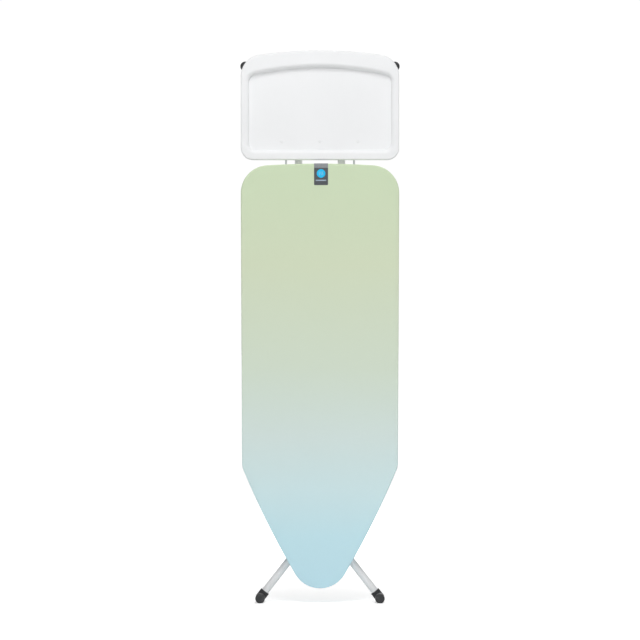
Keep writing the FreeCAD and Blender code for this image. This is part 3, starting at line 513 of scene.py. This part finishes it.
def gather(shape, around):
    """Puckers on the hem, and much smaller ones on the edge and the front."""
    along, over = (shape.verts.layers.float[name] for name in ("along", "over"))
    for point in shape.verts:
        turn = math.tau * point[along] / around
        folds = math.sin(turn * PUCKERS + 2.2 * math.sin(turn * 13) + math.sin(turn * 31))
        past_wall = max(0.0, point[over] - GATHER_START) / GATHER_LENGTH
        point.co.y += PUCKER_HEIGHT * past_wall * folds
        spread = noise.noise(point.co * 9) + 0.5 * noise.noise(point.co * 24)
        if point[over] == 0:
            point.co.y += UNEVEN_FRONT * spread
        else:
            point.co.x *= 1 - 0.0008 * (0.5 + 0.5 * folds)


cover_shape, cover_round = make_cover()
gather(cover_shape, cover_round)
cover_area = sum(f.calc_area() for f in cover_shape.faces)
bmesh.ops.recalc_face_normals(cover_shape, faces=cover_shape.faces)
if max(cover_shape.faces, key=lambda f: f.calc_area()).normal.y > 0:
    bmesh.ops.reverse_faces(cover_shape, faces=cover_shape.faces)
ALONG, OVER = (cover_shape.verts.layers.float[name] for name in ("along", "over"))
hem_line = sorted((v[ALONG], v.co.copy()) for v in cover_shape.verts
                  if abs(v[OVER] - HEM_SEAM) < SEAM_REACH)
cover = finished(cover_shape, "cover_cloth", FINISH["cover_cotton"],
                 ("SOLIDIFY", {"thickness": 0.7 * MM, "offset": -1}), SMOOTHER)
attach(cover, "root")
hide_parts("cotton_cover")
print("cover", round(cover_area, 3), "m2, round", round(cover_round, 3), "hem points", len(hem_line))

# %% [markdown]
# ## The hem's stitches
# One line of lockstitch closes the hem. A texture could draw it, but it would have no height
# in a low light, so each stitch is a tiny stretched ball, placed every few millimetres along
# the hem points that the cover kept. A ball with few faces is enough at this size.

# %% Stitches along a line
def stitch_line(shape, points, pitch, length, width, lift, closed=False):
    """Stretched balls along a line of points, each lying in the line's direction."""
    points = points + points[:1] * closed
    ahead = pitch / 2
    for start, end in zip(points, points[1:]):
        reach = (end - start).length
        while ahead < reach:
            place = start.lerp(end, ahead / reach) + lift
            turn = (end - start).to_track_quat("X", "Z").to_matrix().to_4x4()
            size = Matrix.Diagonal((length / 2, width / 2, width / 2, 1))
            bmesh.ops.create_icosphere(shape, subdivisions=1, radius=1,
                                       matrix=Matrix.Translation(place) @ turn @ size)
            ahead += pitch
        ahead -= reach


hem_shape = bmesh.new()
stitch_line(hem_shape, [point for _, point in hem_line], pitch=4.2 * MM, length=3.2 * MM,
            width=0.7 * MM, lift=Vector((0, 0.25 * MM, 0)), closed=True)
hem_stitches = finished(hem_shape, "hem_stitches", cover_thread)
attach(hem_stitches, "root")

# %% [markdown]
# ## The felt pad
# Under the cover lies a pad of needled felt, cut to the same outline a little smaller. It is
# only seen from behind, through the steel sheet. The same outline face is extruded to the
# pad's thickness, its edges are rounded, and a soft noise makes it slightly uneven, as felt is.

# %% Felt pad
FELT_STEP = 14 * MM
FELT_ROUND = 1.8 * MM
FELT_GRID = 20 * MM


def make_felt_pad():
    low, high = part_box("felt_pad")
    shape = front_face("felt_pad", FELT_STEP)
    front = shape.faces[:][0]
    raised = bmesh.ops.extrude_face_region(shape, geom=[front], use_keep_orig=True)
    moved = [g for g in raised["geom"] if isinstance(g, bmesh.types.BMVert)]
    bmesh.ops.translate(shape, verts=moved, vec=(0, high.y - low.y, 0))
    bmesh.ops.recalc_face_normals(shape, faces=shape.faces)
    sharp = [e for e in shape.edges if e.calc_face_angle(0) > 1.0]
    bmesh.ops.bevel(shape, geom=sharp, offset=FELT_ROUND, segments=2, profile=0.5, affect="EDGES",
                    material=-1)
    flat = [f for f in shape.faces if abs(f.normal.y) > 0.99 and len(f.verts) > 20]
    columns = cut_across(shape, flat, Vector((1, 0, 0)), FELT_GRID)
    cut_across(shape, columns, Vector((0, 0, 1)), FELT_GRID)
    middle = (low.y + high.y) / 2
    for point in shape.verts:
        point.co.y += (middle - point.co.y) * 0.06 * (1 + noise.noise(point.co * 18))
    return shape


felt = finished(make_felt_pad(), "felt_sheet", FINISH["felt"])
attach(felt, "root")
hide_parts("felt_pad")

# %% [markdown]
# ## The expanded steel sheet
# The top is a sheet of expanded steel: slits are cut in it and it is pulled open into
# diamonds, then rolled flat, so that steam passes through. Cutting the outline by two sets of
# slanting planes gives diamonds that end exactly at the outline. Each one is inset by half a
# strand and its middle removed, and what is left is the steel.

# %% Expanded sheet
DIAMOND_WIDE, DIAMOND_HIGH = 20 * MM, 9 * MM
HALF_STRAND = 0.85 * MM


def make_expanded_sheet():
    shape = front_face("mesh_top", DIAMOND_WIDE)
    faces = shape.faces[:]
    pitch = DIAMOND_WIDE * DIAMOND_HIGH / math.hypot(DIAMOND_WIDE, DIAMOND_HIGH)
    for side in (-1, 1):
        slant = Vector((DIAMOND_HIGH * side, 0, DIAMOND_WIDE)).normalized()
        faces = cut_across(shape, faces, slant, pitch)
    least = DIAMOND_WIDE * DIAMOND_HIGH / 8
    open_faces = [f for f in shape.faces if f.calc_area() > least]
    bmesh.ops.inset_individual(shape, faces=open_faces, thickness=HALF_STRAND, use_even_offset=True)
    bmesh.ops.delete(shape, geom=open_faces, context="FACES")
    return shape


SHEET_LOW, SHEET_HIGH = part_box("mesh_top")
expanded = finished(make_expanded_sheet(), "expanded_sheet", FINISH["mesh_steel"],
                    ("SOLIDIFY", {"thickness": SHEET_HIGH.y - SHEET_LOW.y, "offset": -1}))
expanded.data.shade_flat()
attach(expanded, "root")
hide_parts("mesh_top")

# %% [markdown]
# ## The label ribbon
# A woven ribbon is sewn at the tail: it lies on the cover, folds over the edge and goes down
# behind. It is a strip, so a short row of points across its width is extruded along its path,
# whose corner is an arc just outside the cover's rounded edge. Solidify gives it thickness.

# %% Ribbon
RIBBON_HALF = (LABEL_HIGH.x - LABEL_LOW.x) / 2
RIBBON_MIDDLE = (LABEL_HIGH.x + LABEL_LOW.x) / 2
RIBBON_FRONT = COVER_LOW.y - 0.35 * MM
RIBBON_TOP = COVER_HIGH.z + 0.4 * MM
EDGE_RADIUS = 4.5 * MM
FRONT_STEPS = 14
ARC_STEPS = 6


def ribbon_path():
    """Points (y, z) up the front, round the tail edge and back over it."""
    centre_y, centre_z = RIBBON_FRONT + EDGE_RADIUS, RIBBON_TOP - EDGE_RADIUS
    up = [(RIBBON_FRONT, LABEL_LOW.z + (centre_z - LABEL_LOW.z) * k / FRONT_STEPS)
          for k in range(FRONT_STEPS + 1)]
    turns = [math.pi / 2 * k / ARC_STEPS for k in range(1, ARC_STEPS + 1)]
    arc = [(centre_y - EDGE_RADIUS * math.cos(t), centre_z + EDGE_RADIUS * math.sin(t)) for t in turns]
    back = [(centre_y + 3 * MM * k, RIBBON_TOP) for k in range(1, 7)]
    return up + arc + back


def make_strip(path, middle, half, rows):
    """A strip across x, extruded along a path in y and z."""
    shape = bmesh.new()
    ends = [shape.verts.new((middle + side * half, *path[0])) for side in (-1, 1)]
    edge = shape.edges.new(ends)
    bmesh.ops.subdivide_edges(shape, edges=[edge], cuts=rows - 1)
    edges = shape.edges[:]
    for before, after in zip(path, path[1:]):
        made = bmesh.ops.extrude_edge_only(shape, edges=edges)
        moved = [g for g in made["geom"] if isinstance(g, bmesh.types.BMVert)]
        edges = [g for g in made["geom"] if isinstance(g, bmesh.types.BMEdge)]
        bmesh.ops.translate(shape, verts=moved, vec=(0, after[0] - before[0], after[1] - before[1]))
    bmesh.ops.recalc_face_normals(shape, faces=shape.faces)
    if min(shape.faces, key=lambda f: f.calc_center_median().z).normal.y > 0:
        bmesh.ops.reverse_faces(shape, faces=shape.faces)
    return shape


ribbon_shape = make_strip(ribbon_path(), RIBBON_MIDDLE, RIBBON_HALF, 8)
for point in ribbon_shape.verts:
    point.co.y -= 0.12 * MM * (1 + noise.noise(point.co * 60))
ribbon_area = sum(f.calc_area() for f in ribbon_shape.faces)
ribbon = finished(ribbon_shape, "label_ribbon", FINISH["label_cloth"],
                  ("SOLIDIFY", {"thickness": 0.5 * MM, "offset": 0}), SMOOTHER)
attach(ribbon, "root")
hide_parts("label_tab")
ribbon_area / (2 * RIBBON_HALF) + 0.2 * MM
print("ribbon", round(ribbon_area * 1e4, 1), "cm2")

# %% [markdown]
# ## The badge and the ribbon's sewing
# The ribbon carries a round blue badge with three wavy lines of steam, and a pale woven bar
# below it. Both are plain signs for a steam iron. The badge is a disc with a rounded rim,
# each steam line is a wavy strip that stands a little proud of it, and small stitches run
# down the ribbon's two sides and across its foot.

# %% Badge, steam lines and bar
BADGE_LOW, BADGE_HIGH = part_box("label_disc")
BADGE_FRONT = RIBBON_FRONT - 0.65 * MM
BADGE_MIDDLE = (BADGE_LOW.z + BADGE_HIGH.z) / 2
BADGE_THICK = 0.45 * MM
BADGE_ROUND = 0.2 * MM
SIGN_LIFT = 0.15 * MM
STEAM_PITCH = 5 * MM
STEAM_HALF_HEIGHT = 5.5 * MM
STEAM_WAVE = 0.5 * MM
BAR_Z = COVER_HIGH.z - 49 * MM
BAR_SIZE = (30 * MM, 0.3 * MM, 3.2 * MM)
SEAM_INSET = 2 * MM
SEAM_BELOW_TOP = 6 * MM


def make_badge():
    shape = bmesh.new()
    centre = Vector((RIBBON_MIDDLE, BADGE_FRONT, BADGE_MIDDLE))
    face_front = Matrix.Translation(centre) @ Matrix.Rotation(math.pi / 2, 4, "X")
    bmesh.ops.create_circle(shape, cap_ends=True, radius=(BADGE_HIGH.x - BADGE_LOW.x) / 2,
                            segments=64, matrix=face_front)
    raised = bmesh.ops.extrude_face_region(shape, geom=shape.faces[:], use_keep_orig=True)
    moved = [g for g in raised["geom"] if isinstance(g, bmesh.types.BMVert)]
    bmesh.ops.translate(shape, verts=moved, vec=(0, BADGE_THICK, 0))
    bmesh.ops.recalc_face_normals(shape, faces=shape.faces)
    sharp = [e for e in shape.edges if e.calc_face_angle(0) > 1.0]
    bmesh.ops.bevel(shape, geom=sharp, offset=BADGE_ROUND, segments=2, profile=0.5, affect="EDGES",
                    material=-1)
    return shape


def add_wavy_strip(shape, x, low, high, wave):
    """A thin upright strip of steam in front of the badge."""
    count, half_width = 18, 0.45 * MM
    points = [(x + wave * math.sin(math.tau * k / count), low + (high - low) * k / count)
              for k in range(count + 1)]
    front = BADGE_FRONT - SIGN_LIFT
    ends = [shape.verts.new((points[0][0] + side * half_width, front, low)) for side in (-1, 1)]
    edges = [shape.edges.new(ends)]
    for before, after in zip(points, points[1:]):
        made = bmesh.ops.extrude_edge_only(shape, edges=edges)
        moved = [g for g in made["geom"] if isinstance(g, bmesh.types.BMVert)]
        edges = [g for g in made["geom"] if isinstance(g, bmesh.types.BMEdge)]
        bmesh.ops.translate(shape, verts=moved, vec=(after[0] - before[0], 0, after[1] - before[1]))


badge = finished(make_badge(), "steam_badge", FINISH["label_blue"])
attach(badge, "root")
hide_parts("label_disc")
signs = bmesh.new()
for k in (-1, 0, 1):
    add_wavy_strip(signs, RIBBON_MIDDLE + k * STEAM_PITCH, BADGE_MIDDLE - STEAM_HALF_HEIGHT,
                   BADGE_MIDDLE + STEAM_HALF_HEIGHT, STEAM_WAVE)
bar_place = Matrix.Translation((RIBBON_MIDDLE, BADGE_FRONT + SIGN_LIFT, BAR_Z))
bar_place @= Matrix.Diagonal((*BAR_SIZE, 1))
bmesh.ops.create_cube(signs, size=1, matrix=bar_place)
bmesh.ops.recalc_face_normals(signs, faces=signs.faces)
for face in signs.faces:
    if face.normal.y > 0.9 and face.calc_center_median().z > BADGE_LOW.z:
        face.normal_flip()
badge_signs = finished(signs, "badge_signs", pale_thread,
                       ("SOLIDIFY", {"thickness": 0.12 * MM, "offset": -1}))
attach(badge_signs, "root")
seam = bmesh.new()
left, right = LABEL_LOW.x + SEAM_INSET, LABEL_HIGH.x - SEAM_INSET
seam_low, seam_top = LABEL_LOW.z + SEAM_INSET, COVER_HIGH.z - SEAM_BELOW_TOP
seam_path = ((left, seam_top), (left, seam_low), (right, seam_low), (right, seam_top))
corners = [Vector((x, RIBBON_FRONT, z)) for x, z in seam_path]
stitch_line(seam, corners, pitch=2.6 * MM, length=1.9 * MM, width=0.5 * MM,
            lift=Vector((0, -0.5 * MM, 0)))
ribbon_stitches = finished(seam, "ribbon_stitches", FINISH["label_cloth"])
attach(ribbon_stitches, "root")

# %% [markdown]
# ## The latch spring
# A torsion spring sits on the latch bar. Its wire is a small circle spun round the bar while
# it moves along it, which is what spin does when it is given a shift for each step. The two
# ends of the wire are closed flat.

# %% Spring
SPRING_LOW, SPRING_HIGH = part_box("latch_spring")
WIRE = 1.7 * MM


def make_spring():
    middle = (SPRING_LOW + SPRING_HIGH) / 2
    radius = (SPRING_HIGH.x - SPRING_LOW.x - WIRE) / 2
    turns, steps = 11, 24
    shape = bmesh.new()
    start = Vector((middle.x + radius, middle.y, SPRING_LOW.z + WIRE / 2))
    bmesh.ops.create_circle(shape, radius=WIRE / 2, segments=10,
                            matrix=Matrix.Translation(start) @ Matrix.Rotation(math.pi / 2, 4, "X"))
    rise = (SPRING_HIGH.z - SPRING_LOW.z - WIRE) / (turns * steps)
    bmesh.ops.spin(shape, geom=shape.edges[:], cent=middle, axis=(0, 0, 1),
                   angle=turns * math.tau, steps=turns * steps, dvec=(0, 0, rise))
    bmesh.ops.holes_fill(shape, edges=open_edges(shape), sides=12)
    bmesh.ops.recalc_face_normals(shape, faces=shape.faces)
    return shape


spring = finished(make_spring(), "latch_coil", FINISH["zinc_steel"])
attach(spring, "root")
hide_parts("latch_spring")

# %% [markdown]
# ## Floor, light and camera
# The board stands on a plain pale floor under a plain pale sky, so that its edges read
# against white. The floor glows, to be as white as the sky, but less near the feet, where soft
# shadows should show, and light linking keeps that glow off the board. One broad soft light
# above and in front shades the tray's rounded lip: dark where the lip turns down, bright where
# it turns up. A weaker one fills in from the front, low down, as the bounce of a white studio
# does, and one more lights the back. The camera stands level, far away and straight in front.

# %% Studio
FLOOR_HALF = 60
GLOW_RADIUS = 1.6
NEAR_GLOW = (0.4, 0.4, 0.4)
FAR_GLOW = (0.9, 0.9, 0.9)
SKY_STRENGTH = 1.02
LIGHT_TARGET = Vector((0, 0, 0.9))
FIELD_WIDTH = 1.856
CAMERA_AWAY = 8.0
CAMERA_HEIGHT = 0.822


def make_floor():
    """A wide plain floor that glows a little."""
    shape = bmesh.new()
    bmesh.ops.create_grid(shape, x_segments=2, y_segments=2, size=FLOOR_HALF)
    paper = Finish("studio_floor", Roughness=0.9, Specular_IOR_Level=0.1, Emission_Strength=1)
    place = paper.position()
    cloud = paper.noise(place, 1.5, 2.0)
    away = paper.add("ShaderNodeVectorMath", {"operation": "LENGTH"}, {0: place}, out="Value")
    paper.link(Base_Color=paper.mix(cloud, linear(247, 247, 247), linear(251, 251, 251)),
               Emission_Color=paper.mix((away / GLOW_RADIUS).clamp(), NEAR_GLOW, FAR_GLOW))
    return finished(shape, "studio_floor", paper.material)


def add_light(name, place, size, power):
    lamp = bpy.data.lights.new(name, "AREA")
    lamp.shape = "SQUARE"
    lamp.size = size
    lamp.energy = power
    holder = bpy.data.objects.new(name, lamp)
    holder.location = place
    holder.rotation_euler = (LIGHT_TARGET - Vector(place)).to_track_quat("-Z", "Y").to_euler()
    bpy.context.scene.collection.objects.link(holder)


def make_sky():
    """White round the horizon, and greyer above, so that the light has a direction."""
    sky = bpy.data.worlds.new("sky")
    sky.use_nodes = True
    kit = NodeKit(sky.node_tree)
    way = kit.add("ShaderNodeTexCoord", {}, {}, out="Generated")
    height = kit.add("ShaderNodeSeparateXYZ", {}, {0: way}, out="Z")
    stops = [(0.14, (1, 1, 1)), (0.32, (0.12, 0.12, 0.12))]
    shade = kit.add("ShaderNodeValToRGB", {"stops": stops}, {0: height})
    background = kit.tree.nodes["Background"]
    kit.tree.links.new(shade.socket, background.inputs["Color"])
    background.inputs["Strength"].default_value = SKY_STRENGTH
    bpy.context.scene.world = sky


ground = make_floor()
glow = bpy.data.collections.new("floor_glow")
glow.objects.link(ground)
ground.light_linking.receiver_collection = glow
make_sky()
add_light("key", (0, -2.2, 4.0), 1.8, 79)
add_light("fill", (0, -4.0, 0.6), 2.2, 29)
add_light("rear", (0.9, 3.4, 2.6), 2.0, 75)
bpy.context.scene.view_settings.view_transform = "Standard"

lens = bpy.data.cameras.new("camera")
lens.sensor_width = 36
lens.lens = lens.sensor_width * (CAMERA_AWAY + COVER_LOW.y) / FIELD_WIDTH
lens.clip_end = 200
camera = bpy.data.objects.new("camera", lens)
camera.location = (0, -CAMERA_AWAY, CAMERA_HEIGHT)
camera.rotation_euler = (math.pi / 2, 0, 0)
bpy.context.scene.collection.objects.link(camera)
bpy.context.scene.camera = camera
print("lens", round(lens.lens, 1))
